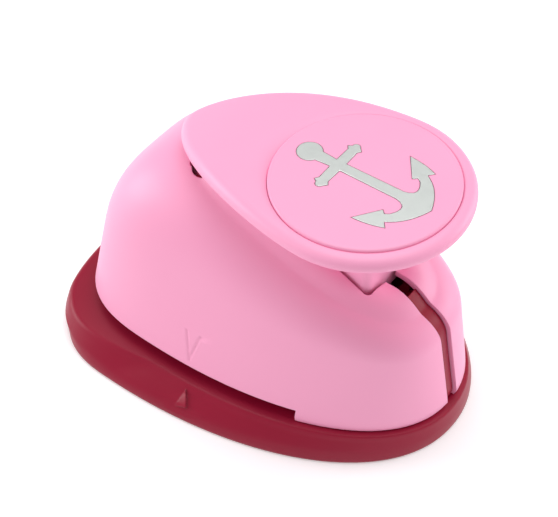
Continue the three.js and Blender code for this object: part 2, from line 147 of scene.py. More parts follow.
def prism(name, outline, low, high, side_view=False):
    """Solid with a flat outline: drawn in plan, or seen from the side in X and Z."""
    def point(a, b, level):
        return (a, level, b) if side_view else (a, b, level)
    count = len(outline)
    points = [point(a, b, low) for a, b in outline] + [point(a, b, high) for a, b in outline]
    faces = [tuple(range(count)), tuple(range(count, 2 * count))]
    faces += [(k, (k + 1) % count, count + (k + 1) % count, count + k) for k in range(count)]
    item = new_object(name, points, faces)
    bm = bmesh.new()
    bm.from_mesh(item.data)
    bmesh.ops.recalc_face_normals(bm, faces=bm.faces)
    bm.to_mesh(item.data)
    bm.free()
    return item


def block(name, x, y, z):
    return prism(name, [(x[0], y[0]), (x[1], y[0]), (x[1], y[1]), (x[0], y[1])], *z)


def arc(cx, cy, r, start, end, steps=8):
    angles = [start + (end - start) * k / steps for k in range(steps + 1)]
    return [(cx + r * math.cos(a), cy + r * math.sin(a)) for a in angles]


def rounded_box_outline(x0, x1, half, r):
    corners = [(x1 - r, half - r), (x0 + r, half - r), (x0 + r, r - half), (x1 - r, r - half)]
    quarter = math.pi / 2
    return [p for k, (x, y) in enumerate(corners) for p in arc(x, y, r, k * quarter, (k + 1) * quarter)]


def rod(name, x, y, r, low, high, sides=48):
    return prism(name, arc(x, y, r, 0, math.tau * (1 - 1 / sides), sides - 1), low, high)


def cross_rod(name, x, z, r, low, high, sides=48):
    return prism(name, arc(x, z, r, 0, math.tau * (1 - 1 / sides), sides - 1), low, high, side_view=True)


def combine(item, operation, *tools):
    for tool in tools:
        boolean = item.modifiers.new("boolean", "BOOLEAN")
        boolean.operation = operation
        boolean.solver = "EXACT"
        boolean.object = tool
        settle(item)
        bpy.data.objects.remove(tool)
    return item


def shade(item, sharp_above=180):
    item.data.shade_smooth()
    if sharp_above < 180:
        item.data.set_sharp_from_angle(angle=math.radians(sharp_above))
    return item


# %% [markdown]
# ## Surfaces
#
# One small function adds a node with its settings, values and links. Colours are written as they look on a
# screen, and one function turns them into the linear values that a shader wants. Patterns are sized in
# millimetres: `per_mm(0.4)` is the scale at which one blotch of noise is 0.4 mm wide.

# %% Node helpers
def colour(hex_text):
    parts = [int(hex_text[k:k + 2], 16) / 255 for k in (1, 3, 5)]
    return tuple(p / 12.92 if p <= 0.04045 else ((p + 0.055) / 1.055) ** 2.4 for p in parts) + (1.0,)


def per_mm(size):
    return 1 / (size * MM)


def add_node(tree, kind, values=None, links=None, **settings):
    item = tree.nodes.new(kind)
    for key, value in settings.items():
        setattr(item, key, value)
    for socket, value in (values or {}).items():
        item.inputs[socket].default_value = value
    for socket, source in (links or {}).items():
        tree.links.new(source, item.inputs[socket])
    return item


def new_material(name):
    made = bpy.data.materials.new(name)
    made.use_nodes = True
    made.node_tree.nodes.clear()
    return made, made.node_tree


def finish_material(tree, shader):
    add_node(tree, "ShaderNodeOutputMaterial", links={"Surface": shader.outputs[0]})


# %% [markdown]
# ## Moulded ABS
#
# Both plastics are injection-moulded ABS from a finely spark-eroded mould. That gives a satin skin: a broad
# soft highlight, a grain of about a third of a millimetre, and a very slight drift of tone where the melt
# cooled at different speeds. The grain is a bump, because it is far too shallow to be geometry. Every edge
# of a moulding is a little round, and the bevel node shades it so.

# %% Moulded plastic
EDGE_RADIUS = 0.4 * MM


def moulded_abs(name, tone, drift_tone, roughness, specular=0.5):
    made, tree = new_material(name)
    place = add_node(tree, "ShaderNodeTexCoord").outputs["Object"]
    drift = add_node(tree, "ShaderNodeTexNoise", {"Scale": per_mm(38), "Detail": 2.0}, {"Vector": place})
    ramp = add_node(tree, "ShaderNodeValToRGB", links={"Fac": drift.outputs["Fac"]})
    ramp.color_ramp.elements[0].position = 0.3
    ramp.color_ramp.elements[0].color = colour(drift_tone)
    ramp.color_ramp.elements[1].position = 0.7
    ramp.color_ramp.elements[1].color = colour(tone)
    smudge = add_node(tree, "ShaderNodeTexNoise", {"Scale": per_mm(9), "Detail": 4.0}, {"Vector": place})
    gloss = add_node(
        tree, "ShaderNodeMapRange", {"From Min": 0.3, "From Max": 0.7, "To Min": roughness - 0.03,
                                     "To Max": roughness + 0.04}, {"Value": smudge.outputs["Fac"]})
    grain = add_node(tree, "ShaderNodeTexNoise", {"Scale": per_mm(0.35), "Detail": 2.0}, {"Vector": place})
    edges = add_node(tree, "ShaderNodeBevel", {"Radius": EDGE_RADIUS}, samples=4)
    bump = add_node(tree, "ShaderNodeBump", {"Strength": 1.0, "Distance": 0.006 * MM},
                    {"Height": grain.outputs["Fac"], "Normal": edges.outputs["Normal"]})
    shader = add_node(
        tree, "ShaderNodeBsdfPrincipled", {"IOR": 1.53, "Specular IOR Level": specular},
        {"Base Color": ramp.outputs["Color"], "Roughness": gloss.outputs["Result"],
         "Normal": bump.outputs["Normal"]})
    finish_material(tree, shader)
    return made


pink_abs = moulded_abs("pink satin moulded ABS", "#FBA6CA", "#F9A2C7", roughness=0.42)
crimson_abs = moulded_abs("crimson satin moulded ABS", "#970930", "#91082D", roughness=0.38, specular=0.28)
grey_nylon = moulded_abs("grey moulded nylon", "#3C3D41", "#343539", roughness=0.5)
print("plastics:", pink_abs.name, "|", crimson_abs.name)

# %% [markdown]
# ## Metals
#
# Steel rod is drawn through a die, which leaves fine lines along it. A cast zinc plate is ground flat, so it
# has a short scratchy grain. Spring wire is zinc plated and a little dull. The emblem is hot-stamped foil:
# a mirror film pressed on a slightly uneven surface, so what it reflects is soft and blotchy.

# %% Metals
def metal(name, tone, roughness, grain_mm, stretch=(1, 1, 1), grain_depth_mm=0.004, spread=0.08):
    made, tree = new_material(name)
    place = add_node(tree, "ShaderNodeTexCoord").outputs["Object"]
    turned = add_node(tree, "ShaderNodeMapping", {"Scale": stretch}, {"Vector": place})
    grain = add_node(tree, "ShaderNodeTexNoise", {"Scale": per_mm(grain_mm), "Detail": 3.0},
                     {"Vector": turned.outputs["Vector"]})
    gloss = add_node(
        tree, "ShaderNodeMapRange", {"From Min": 0.3, "From Max": 0.7, "To Min": roughness - spread,
                                     "To Max": roughness + spread}, {"Value": grain.outputs["Fac"]})
    bump = add_node(tree, "ShaderNodeBump", {"Strength": 1.0, "Distance": grain_depth_mm * MM},
                    {"Height": grain.outputs["Fac"]})
    shader = add_node(
        tree, "ShaderNodeBsdfPrincipled", {"Base Color": colour(tone), "Metallic": 1.0},
        {"Roughness": gloss.outputs["Result"], "Normal": bump.outputs["Normal"]})
    finish_material(tree, shader)
    return made


drawn_steel = metal("drawn bright steel", "#C9CBCE", 0.26, grain_mm=0.4, stretch=(1, 1, 0.05))
cast_zinc = metal("ground cast zinc", "#A9ACB0", 0.46, grain_mm=0.5, stretch=(0.12, 1, 1))
spring_wire = metal("zinc-plated spring wire", "#A6A8AA", 0.34, grain_mm=0.3)
screw_steel = metal("zinc-plated screw steel", "#BFC1C3", 0.3, grain_mm=0.6)
stamped_foil = metal("hot-stamped silver foil", "#CCD0CD", 0.46, grain_mm=1.1, grain_depth_mm=0.008, spread=0.06)

# %% [markdown]
# ## Camera
#
# A long lens from above the punch's front right corner. Its place is given in pad radii from the middle
# of the pad, and its direction by a compass angle and a height angle, so that it follows the model's size.

# %% Camera
FOCAL_LENGTH_MM = 77.4
CAMERA_TURN = math.radians(36.91)
CAMERA_DROP = math.radians(48.94)
look = Vector((-math.sin(CAMERA_TURN) * math.cos(CAMERA_DROP), math.cos(CAMERA_TURN) * math.cos(CAMERA_DROP),
               -math.sin(CAMERA_DROP)))
camera = bpy.data.objects.new("camera", bpy.data.cameras.new("camera"))
camera.data.lens = FOCAL_LENGTH_MM
camera.data.sensor_width = 36
camera.location = Vector((PAD_X, 0, PAD_Z)) + R * Vector((4.474, -7.412, 8.647))
camera.rotation_euler = look.to_track_quat("-Z", "Y").to_euler()
bpy.context.scene.collection.objects.link(camera)
bpy.context.scene.camera = camera
print("camera", tuple(round(v, 3) for v in camera.location))

# %% [markdown]
# ## Egg outlines
#
# In plan, the tray, the cover and the lever are all eggs. Each is a superellipse whose front and back halves
# have a length and a squareness of their own. A power of 2 is a plain ellipse, and a higher one is squarer.

# %% Egg outlines, in pad radii
Egg = namedtuple("Egg", "middle half front back front_power back_power")
TRAY_FOOT = Egg(-2.2, 1.96, 3.67, 1.3, 2.1, 2.75)
TRAY_RIM = Egg(-1.75, 1.64, 3.18, 1.62, 2.12, 3)
COVER_FOOT = Egg(-1.75, 1.596, 3.15, 1.58, 2.12, 3)
COVER_CREASE = Egg(-1.764, 1.06, 2.9, 1.18, 3, 3.2)
COVER_CROWN = Egg(-1.01, 0.41, 1.427, 0.982, 2.2, 2.4)
LEVER_EDGE = Egg(0, 1.155, 1.155, 2.37, 2, 1.66)


def egg_point(egg, angle, inset=0.0):
    """Point of the outline, drawn in by inset."""
    c, s = math.cos(angle), math.sin(angle)
    length, power = (egg.front, egg.front_power) if c >= 0 else (egg.back, egg.back_power)
    reach = (abs(c) ** power + abs(s) ** power) ** (-1 / power)
    return Vector((PAD_X + egg.middle * R + (length * R - inset) * reach * c, (egg.half * R - inset) * reach * s))


def at_height(plan, z):
    return Vector((plan.x, plan.y, z))


# %% [markdown]
# ## Cover
#
# The cover is one pink moulding, 2.2 mm thick. Its surface runs from a narrow crown, over a soft crease,
# down to the wide foot. A ring shell draws it, because every level of the cover is an egg. The wall is that
# shell less a smaller one. The slot in the nose, the opening for the lever's leg, the notches beside the hinge
# and the raised edge of the paper slot are cut out.

# %% Cover surface
CREASE_BAND = 0.16


def ridge_height(x):
    ahead = (x - PAD_X) / R
    slopes = (2.18 + 0.334 * (ahead + 3.32), 2.543, 1.87 - 0.57 * (ahead - 0.417))
    softness = 0.109
    return -softness * math.log(sum(math.exp(-z / softness) for z in slopes)) * R


def crease_height(x):
    return (1.846 - 0.21 * (x - PAD_X) / R) * R


def cover_point(angle, step, inset, foot):
    """A point of the cover: step 0 is the middle of the crown, 13 the lower edge and 14 the middle below."""
    middle = Vector((PAD_X + COVER_CROWN.middle * R, 0))
    crown = egg_point(COVER_CROWN, angle, inset * 0.4)
    if step <= 2:
        plan = middle.lerp(crown, min(1, step / 2))
        return at_height(plan, ridge_height(plan.x) - inset)
    if step >= 14:
        return Vector((PAD_X + COVER_FOOT.middle * R, 0, foot - 8 * MM))
    top = at_height(crown, ridge_height(crown.x) - inset)
    crease_plan = egg_point(COVER_CREASE, angle, inset)
    crease = at_height(crease_plan, crease_height(crease_plan.x) - inset * 0.7)
    edge = at_height(egg_point(COVER_FOOT, angle, inset), foot)
    back = (1 - math.cos(angle)) / 2
    below = crease.lerp(edge, CREASE_BAND + 0.34 * back)
    above = crease.lerp(top, 0.35 + 0.55 * back)
    if step <= 4:
        t = (4 - step) / 2
        return above.lerp(top, t) + Vector((0, 0, 0.35 * R * t * (1 - t)))
    if step <= 10:
        t = (step - 4) / 6
        return above.lerp(crease, t).lerp(crease.lerp(below, t), t)
    if step <= 13:
        return below.lerp(edge, (step - 10) / 3)
    return edge - Vector((0, 0, 8 * MM))


def cover_shell(name, inset, foot):
    steps = [k / 4 for k in range(53)] + [13.5, 14]
    item = ring_shell(name, lambda a, row: cover_point(a, steps[row], inset, foot), 128, len(steps) - 1)
    soften = item.modifiers.new("blend the crown", "SMOOTH")
    soften.iterations = 4
    return settle(item)


# %% Cover openings
LEG_X = (HINGE_X - 3.8 * MM, PAD_X + 0.38 * R)
LEG_HALF = 8.8 * MM
SLOT_END_X = PAD_X + 0.1 * R
NOTCH_Y = 7.6 * MM
NOTCH_R = 3.8 * MM
SLOT_HALF = 2.1 * MM
FAR = 90 * MM


def cover_piece():
    item = combine(cover_shell("cover", 0, BED_Z + GAP), "DIFFERENCE", cover_shell("inner", WALL, BED_Z - 2 * MM))
    leg_room = rounded_box_outline(LEG_X[0] - 0.9 * MM, LEG_X[1] + 0.8 * MM, LEG_HALF + 0.8 * MM, 1.6 * MM)
    combine(
        item, "DIFFERENCE",
        block("below", (-FAR, FAR), (-FAR, FAR), (-FAR, BED_Z + GAP)),
        block("raised edge", (-FAR, SLOT_END_X), (-FAR, FAR), (-FAR, GUIDE_Z)),
        block("nose slot", (30 * MM, FAR), (-SLOT_HALF, SLOT_HALF), (0, FAR)),
        prism("leg opening", leg_room, 37 * MM, FAR),
        *[rod("notch", HINGE_X, side * NOTCH_Y, NOTCH_R, 40 * MM, FAR) for side in (-1, 1)],
    )
    return shade(item, 35)


cover = cover_piece()
print("cover:", len(cover.data.polygons), "faces")

# %% [markdown]
# ## Tray
#
# The tray is the crimson moulding that the punch stands on. Its wall leans out towards the foot, and behind
# the cover it spreads into a ramp with a round lip that leads paper into the slot. The same ring shell is
# used, with a few rings close together wherever the profile turns, so that the lip and the foot are round.

# %% Tray
Ring = namedtuple("Ring", "z down inset lean")
FLARE = 0.05 * R
LIP_LEAN = 0.08 * R


def tray_side(angle, ring):
    ramp = min(1, max(0, -1.25 * math.cos(angle)))
    spread = ramp * FLARE * min(1, 3 * (1 - ring.down))
    foot = egg_point(TRAY_FOOT, angle, ring.inset - spread)
    ramped = egg_point(TRAY_FOOT, angle, ring.inset - spread + ring.lean)
    rim = egg_point(TRAY_RIM, angle, ring.inset)
    return at_height(rim.lerp(ramped, ramp).lerp(foot, ring.down), ring.z)


TRAY_RINGS = [
    Ring(BED_Z, 0, 0.6 * MM, LIP_LEAN), Ring(BED_Z - 0.04 * MM, 0, 0.3 * MM, LIP_LEAN),
    Ring(BED_Z - 0.15 * MM, 0.02, 0.12 * MM, LIP_LEAN * 0.9), Ring(BED_Z - 0.4 * MM, 0.05, 0.03 * MM, LIP_LEAN * 0.7),
    Ring(BED_Z - 1 * MM, 0.13, 0, LIP_LEAN * 0.5), Ring(BED_Z - 2 * MM, 0.27, 0, LIP_LEAN * 0.3),
    Ring(0.2 * R, 0.66, 0, 0), Ring(0.14 * R, 0.83, 0, 0), Ring(0.09 * R, 0.95, 0, 0), Ring(0.05 * R, 0.99, 0, 0),
    Ring(0.03 * R, 1, 0, 0), Ring(0.012 * R, 1, 0.12 * MM, 0), Ring(0.003 * R, 1, 0.35 * MM, 0),
    Ring(0, 1, 0.7 * MM, 0),
]
PLATE_X = (-27 * MM, 30 * MM)
PLATE_HALF = 17 * MM


def tray_place(angle, row):
    middle = PAD_X + TRAY_RIM.middle * R
    if row == 0:
        return Vector((middle, 0, BED_Z))
    if row > len(TRAY_RINGS):
        return Vector((middle, 0, 0))
    return tray_side(angle, TRAY_RINGS[row - 1])


def hollow_place(angle, row):
    middle = PAD_X + TRAY_RIM.middle * R
    ceiling = BED_Z - 2 * MM
    levels = [Ring(ceiling, 0, 3.2 * MM, 0), Ring(ceiling - 0.6 * MM, 0, 2.6 * MM, 0), Ring(-1 * MM, 1, 2.6 * MM, 0)]
    if row == 0:
        return Vector((middle, 0, ceiling))
    if row == 4:
        return Vector((middle, 0, -1 * MM))
    return tray_side(angle, levels[row - 1])


screw_low = {n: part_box(n)[0] for n in ("base_screw_1", "base_screw_2", "base_screw_3", "base_screw_4",
                                       "die_screw_left", "die_screw_right")}
SCREW_HEAD_R = 3.0 * MM
SCREW_PLACES = [(low.x + SCREW_HEAD_R, low.y + SCREW_HEAD_R) for low in screw_low.values()]


def tray_piece():
    item = ring_shell("tray", tray_place, 176, len(TRAY_RINGS) + 1)
    core = rounded_box_outline(PLATE_X[0] - 2.5 * MM, 41 * MM, PLATE_HALF + 2.5 * MM, 3 * MM)
    pocket = rounded_box_outline(PLATE_X[0] - GAP, PLATE_X[1] + GAP, PLATE_HALF + GAP, 4 * MM)
    window = rounded_box_outline(PUNCH_X - 19.5 * MM, PUNCH_X + 19.5 * MM, 13.2 * MM, 4 * MM)
    hollow = combine(ring_shell("hollow", hollow_place, 96, 4), "DIFFERENCE", prism("core", core, -2 * MM, BED_Z))
    combine(item, "DIFFERENCE", hollow, prism("pocket", pocket, 3.5 * MM, 12 * MM),
            prism("window", window, -MM, 5 * MM))
    for x, y in SCREW_PLACES:
        combine(item, "DIFFERENCE", rod("shank hole", x, y, 1.7 * MM, -MM, 12 * MM),
                rod("head hole", x, y, 3.4 * MM, -MM, 2.7 * MM))
    return shade(item, 35)


tray = tray_piece()
print("tray:", len(tray.data.polygons), "faces")

# %% [markdown]
# ## Lever
#
# The lever is a teardrop plate with a turned-down rim and a hollow leg that reaches into the cover. The
# plate's rings start as circles, which make the seat of the round pad, and turn into the egg of its edge.
# The leg is a rounded tube cut to its side view, with the rib that presses on the plunger inside it.

# %% Lever plate
SEAT_R = R + 0.06 * MM
SEAT_DEPTH = 1.56 * MM
SKIN = 2.6 * MM
RIM = 3.7 * MM


def lever_top(x):
    ahead = (x - PAD_X) / R
    droop = 0.062 * (-ahead - 0.4) ** 2.3 if ahead < -0.4 else 0
    return (3.13 + PAD_SLOPE * ahead - droop) * R


def lever_rings():
    """Each ring: radius of the seat's circle, share of the way out to the edge, inset from it, and depth."""
    seat = [(r, 0, 0, SEAT_DEPTH) for r in (0.5 * R, SEAT_R - 0.3 * MM, SEAT_R)]
    step = [(SEAT_R, 0, 0, 0.4 * MM), (SEAT_R + 0.12 * MM, 0, 0, 0.14 * MM), (SEAT_R + 0.35 * MM, 0, 0, 0)]
    top = [(SEAT_R + 0.35 * MM, share / 6, 2.7 * MM, 0) for share in range(1, 7)]
    bend = [math.radians(a) for a in (15, 30, 45, 60, 75, 90)]
    upper = [(0, 1, 2.7 * MM * (1 - math.sin(a)), 2.0 * MM * (1 - math.cos(a))) for a in bend]
    lower = [(0, 1, 1.3 * MM * (1 - math.cos(a)), RIM - 1.3 * MM * (1 - math.sin(a))) for a in [0] + bend]
    inner = [(0, 1, 2.2 * MM + 0.9 * MM * math.sin(a), SKIN + (RIM - SKIN) * math.cos(a)) for a in bend]
    return seat + step + top + upper + lower + inner


def lever_piece():
    rings = lever_rings()

    def place(angle, row):
        middle = Vector((PAD_X, 0))
        if row == 0:
            return at_height(middle, lever_top(PAD_X) - SEAT_DEPTH)
        if row > len(rings):
            return at_height(middle, lever_top(PAD_X) - SKIN)
        radius, share, inset, depth = rings[row - 1]
        circle = middle + radius * Vector((math.cos(angle), math.sin(angle)))
        plan = circle.lerp(egg_point(LEVER_EDGE, angle, inset), share)
        return at_height(plan, lever_top(plan.x) - depth)

    return ring_shell("lever_shell", place, 192, len(rings) + 1)


# %% Lever leg
LEG_WALL = 1.8 * MM
RIB_R = 3 * MM
RIB_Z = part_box("plunger_block")[1].z + GAP + RIB_R


def leg_piece():
    x0, x1 = LEG_X
    side = [(x0, HINGE_Z), (HINGE_X - 2 * MM, HINGE_Z - 4.2 * MM), (-11 * MM, HINGE_Z - 5 * MM),
            (15 * MM, 44 * MM), (22 * MM, 37 * MM), (x1, 37 * MM), (x1, 66.5 * MM), (0, 66 * MM),
            (-12 * MM, 64 * MM), (x0, 61 * MM)]
    leg = prism("leg", rounded_box_outline(x0, x1, LEG_HALF, 2.2 * MM), 30 * MM, 70 * MM)
    combine(leg, "INTERSECT", prism("side view", side, -LEG_HALF - MM, LEG_HALF + MM, side_view=True))
    room = prism("room", rounded_box_outline(x0 + LEG_WALL, x1 - LEG_WALL, LEG_HALF - LEG_WALL, MM), 25 * MM, 63 * MM)
    ceiling = [(x0, 20 * MM), (x1, 20 * MM), (x1, 63 * MM), (0, 63 * MM), (-12 * MM, 61.5 * MM), (x0, 58.6 * MM)]
    combine(room, "INTERSECT", prism("ceiling", ceiling, -LEG_HALF, LEG_HALF, side_view=True))
    combine(leg, "DIFFERENCE", room)
    rib_y = (-LEG_HALF + MM, LEG_HALF - MM)
    rib = block("rib", (PUNCH_X - RIB_R, PUNCH_X + RIB_R), rib_y, (RIB_Z, 63.5 * MM))
    combine(rib, "UNION", cross_rod("rib foot", PUNCH_X, RIB_Z, RIB_R, *rib_y))
    return combine(leg, "UNION", rib)


lever = combine(lever_piece(), "UNION", leg_piece())
combine(lever, "DIFFERENCE", cross_rod("pin hole", HINGE_X, HINGE_Z, 2.3 * MM, -20 * MM, 20 * MM))
shade(lever, 40)
print("lever:", len(lever.data.polygons), "faces")

# %% [markdown]
# ## Pad and anchor
#
# The round pad is turned, so it is a ring shell of circles with a small round edge. The anchor shows the
# shape that the punch cuts: the same outline is sunk into the pad with a hair of clearance, and filled with
# a plate that carries the silver foil.

# %% Anchor outline, in pad radii
ANCHOR_SHIFT = 0.006


def curve_through(start, bend, end, steps=6):
    points = []
    for k in range(1, steps + 1):
        t = k / steps
        points.append(tuple((1 - t) ** 2 * a + 2 * t * (1 - t) * b + t * t * c for a, b, c in zip(start, bend, end)))
    return points


def anchor_half():
    """Half of the outline, from the end with the ring to the crown."""
    points = arc(-0.7, 0, 0.14, math.pi, 0.55, 14)
    points += [(-0.4, 0.06), (-0.395, 0.26), (-0.425, 0.3), (-0.385, 0.325)]
    points += arc(-0.34, 0.33, 0.045, 0.9 * math.pi, 0.1 * math.pi, 6)
    points += [(-0.255, 0.3), (-0.285, 0.26), (-0.28, 0.06), (0.42, 0.065)]
    points += curve_through((0.42, 0.065), (0.6, 0.1), (0.48, 0.275))
    points += [(0.433, 0.309), (0.388, 0.269), (0.192, 0.537)]
    points += curve_through((0.192, 0.537), (0.39, 0.53), (0.541, 0.463))
    points.append((0.487, 0.401))
    return points + curve_through((0.487, 0.401), (0.69, 0.29), (0.785, 0), 12)


def anchor_outline(grow=0.0):
    half = [Vector(((x + ANCHOR_SHIFT) * R, y * R)) for x, y in anchor_half()]
    loop = half + [Vector((p.x, -p.y)) for p in reversed(half[1:-1])]
    moved = []
    for k, point in enumerate(loop):
        before = (point - loop[k - 1]).normalized()
        after = (loop[(k + 1) % len(loop)] - point).normalized()
        out = Vector((-before.y - after.y, before.x + after.x)).normalized()
        lean = max(0.5, out.dot(Vector((-before.y, before.x))))
        moved.append(point + out * (grow / lean))
    return moved


# %% Pad and foil
PAD_PLACE = Matrix.Translation((PAD_X, 0, PAD_Z)) @ Matrix.Rotation(-math.atan(PAD_SLOPE), 4, "Y")


def set_in_place(item):
    item.data.transform(PAD_PLACE)
    return item


def pad_piece():
    edge = [(R - 0.3 * MM, -1.6 * MM), (R, -1.3 * MM), (R, -0.6 * MM)]
    bend = [math.radians(a) for a in (15, 30, 45, 60, 75, 90)]
    edge += [(R - 0.75 * MM * (1 - math.cos(a)), -0.6 * MM + 0.6 * MM * math.sin(a)) for a in bend]
    edge += [(R - 1.1 * MM, 0)]
    profile = list(reversed(edge))

    def place(angle, row):
        if row in (0, len(profile) + 1):
            return Vector((0, 0, 0 if row == 0 else -1.6 * MM))
        radius, z = profile[row - 1]
        return Vector((radius * math.cos(angle), radius * math.sin(angle), z))

    item = ring_shell("round_pad", place, 144, len(profile) + 1)
    seat = [tuple(p) for p in anchor_outline(0.1 * MM)]
    return shade(set_in_place(combine(item, "DIFFERENCE", prism("seat", seat, -0.7 * MM, MM))), 40)


def foil_piece():
    item = prism("foil_anchor", [tuple(p) for p in anchor_outline()], -0.66 * MM, 0.1 * MM)
    bevel = item.modifiers.new("pressed edge", "BEVEL")
    bevel.width = 0.12 * MM
    bevel.segments = 2
    bevel.limit_method = "ANGLE"
    bevel.angle_limit = math.radians(60)
    return shade(set_in_place(settle(item)), 20)


pad = pad_piece()
foil = foil_piece()
print("pad and anchor:", len(pad.data.polygons), "and", len(foil.data.polygons), "faces")

# %% [markdown]
# ## Inner mouldings
#
# Two more crimson mouldings stand inside the cover, trimmed by a shell just inside its wall. The foot carries
# the spine behind the slot in the nose. The frame's cheeks stiffen the sides, and its two towers hold the
# hinge pin. A strip set on the spine fills the slot, 1 mm below the cover's surface.

# %% Inner mouldings
FOOT_X = 25 * MM
FOOT_TOP_Z = 20 * MM


def in_mm(outline):
    return [(x * MM, z * MM) for x, z in outline]


def hinge_tower(name, side):
    y = sorted((side * 9.2 * MM, side * 11 * MM))
    r = 3.5 * MM
    flanks = [(HINGE_X - 5.5 * MM, 35 * MM), (HINGE_X + 5.5 * MM, 35 * MM),
              (HINGE_X + r, HINGE_Z), (HINGE_X - r, HINGE_Z)]
    return combine(prism(name, flanks, *y, side_view=True), "UNION", cross_rod("boss", HINGE_X, HINGE_Z, r, *y))


def trimmed(item):
    """Trims a piece to the shell that stands 3 mm inside the cover's surface."""
    base = BED_Z + GAP
    combine(item, "INTERSECT", cover_shell("envelope", WALL + 0.8 * MM, base - 2 * MM))
    return combine(item, "DIFFERENCE", block("below", (-FAR, FAR), (-FAR, FAR), (-FAR, base)))


def front_foot_piece():
    item = block("front_foot", (FOOT_X, 38.5 * MM), (-20.3 * MM, 20.3 * MM), (BED_Z + GAP, FOOT_TOP_Z))
    combine(item, "DIFFERENCE",
            block("room", (0, PLATE_X[1] + GAP), (-17.6 * MM, 17.6 * MM), (0, GUIDE_TOP_Z + GAP)),
            block("leg room", (0, PLATE_X[1] + MM), (-9.8 * MM, 9.8 * MM), (0, 21 * MM)))
    wall_x = (LEG_X[1] + 0.7 * MM, LEG_X[1] + 3.2 * MM)
    spine = in_mm([(33, 8.3), (60, 8.3), (60, 27), (38.6, 42), (37.2, 37.4), (33, 32.5)])
    combine(item, "UNION", block("wall", wall_x, (-13 * MM, 13 * MM), (19 * MM, 33 * MM)),
            prism("spine", spine, -3.6 * MM, 3.6 * MM, side_view=True))
    trimmed(item)
    for x, y in SCREW_PLACES[:4]:
        combine(item, "DIFFERENCE", rod("screw hole", x, y, 1.7 * MM, 0, 16.5 * MM))
    return shade(item, 30)


def inner_frame_piece():
    step = [(FOOT_X - GAP, GUIDE_Z), (FOOT_X - GAP, FOOT_TOP_Z + GAP), (30 * MM, FOOT_TOP_Z + GAP)]
    cheek = [(-27 * MM, GUIDE_Z)] + step + in_mm([(29, 30), (24, 36), (-24, 36), (-27, 33)])
    bridge_x = (HINGE_X - 9.5 * MM, HINGE_X + 6.5 * MM)
    bridge = block("inner_frame", bridge_x, (-18.5 * MM, 18.5 * MM), (32.5 * MM, 36 * MM))
    hole = block("hole", (HINGE_X - 6.5 * MM, HINGE_X + 4 * MM), (-8.7 * MM, 8.7 * MM), (30 * MM, 38 * MM))
    item = combine(bridge, "DIFFERENCE", hole)
    for side in (-1, 1):
        y = sorted((side * 18 * MM, side * 20.3 * MM))
        combine(item, "UNION", prism("cheek", cheek, *y, side_view=True))
    trimmed(item)
    for side in (-1, 1):
        inside = cover_shell("envelope", WALL + 0.8 * MM, BED_Z + GAP)
        notch = rod("notch", HINGE_X, side * NOTCH_Y, NOTCH_R - GAP, 40 * MM, 60 * MM)
        combine(item, "UNION", combine(hinge_tower("tower", side), "INTERSECT", combine(inside, "UNION", notch)))
    pin_hole = cross_rod("pin hole", HINGE_X, HINGE_Z, 2.3 * MM, -20 * MM, 20 * MM)
    return shade(combine(item, "DIFFERENCE", pin_hole), 30)


def slot_strip_piece():
    base = BED_Z + GAP
    side = in_mm([(36, 8.3), (60, 8.3), (60, 27), (38.6, 42), (37.2, 37.4), (36, 36)])
    item = prism("slot_strip", side, GAP - SLOT_HALF, SLOT_HALF - GAP, side_view=True)
    combine(item, "INTERSECT", cover_shell("envelope", MM, base))
    return shade(combine(item, "DIFFERENCE", cover_shell("spine", WALL + 0.5 * MM, base)), 30)


inner_frame = inner_frame_piece()
front_foot = front_foot_piece()
slot_strip = slot_strip_piece()
print("inner pieces:", [len(item.data.polygons) for item in (inner_frame, front_foot, slot_strip)], "faces")

# %% [markdown]
# ## Springs and screws
#
# Coil springs and screws follow a rule, so Geometry Nodes make them. A spring is a wire swept along a spiral,
# and its end turns lie flat, as on any spring that has to stand on a plate. A screw is a pan head with a
# cross cut into it, a shank, and a thread swept along a second spiral. The trees take their sizes as inputs,
# and those sizes are worked out beside the call.

# %% Geometry Nodes helpers
def new_tree(name, **inputs):
    tree = bpy.data.node_groups.new(name, "GeometryNodeTree")
    tree.interface.new_socket("Geometry", in_out="OUTPUT", socket_type="NodeSocketGeometry")
    for label, kind in inputs.items():
        tree.interface.new_socket(label.replace("_", " "), in_out="INPUT", socket_type="NodeSocket" + kind)
    return tree, add_node(tree, "NodeGroupInput").outputs


def close_tree(tree, geometry, material):
    solid = add_node(tree, "GeometryNodeRealizeInstances", links={"Geometry": geometry})
    painted = add_node(tree, "GeometryNodeSetMaterial", links={"Geometry": solid.outputs[0], "Material": material})
    add_node(tree, "NodeGroupOutput", links={"Geometry": painted.outputs[0]})


def run_tree(name, tree, **values):
    item = new_object(name, [], [])
    item.modifiers.new("nodes", "NODES").node_group = tree
    sockets = {s.name: s.identifier for s in tree.interface.items_tree if s.in_out == "INPUT"}
    for label, value in values.items():
        item.modifiers["nodes"][sockets[label.replace("_", " ")]] = value
    return settle(item)


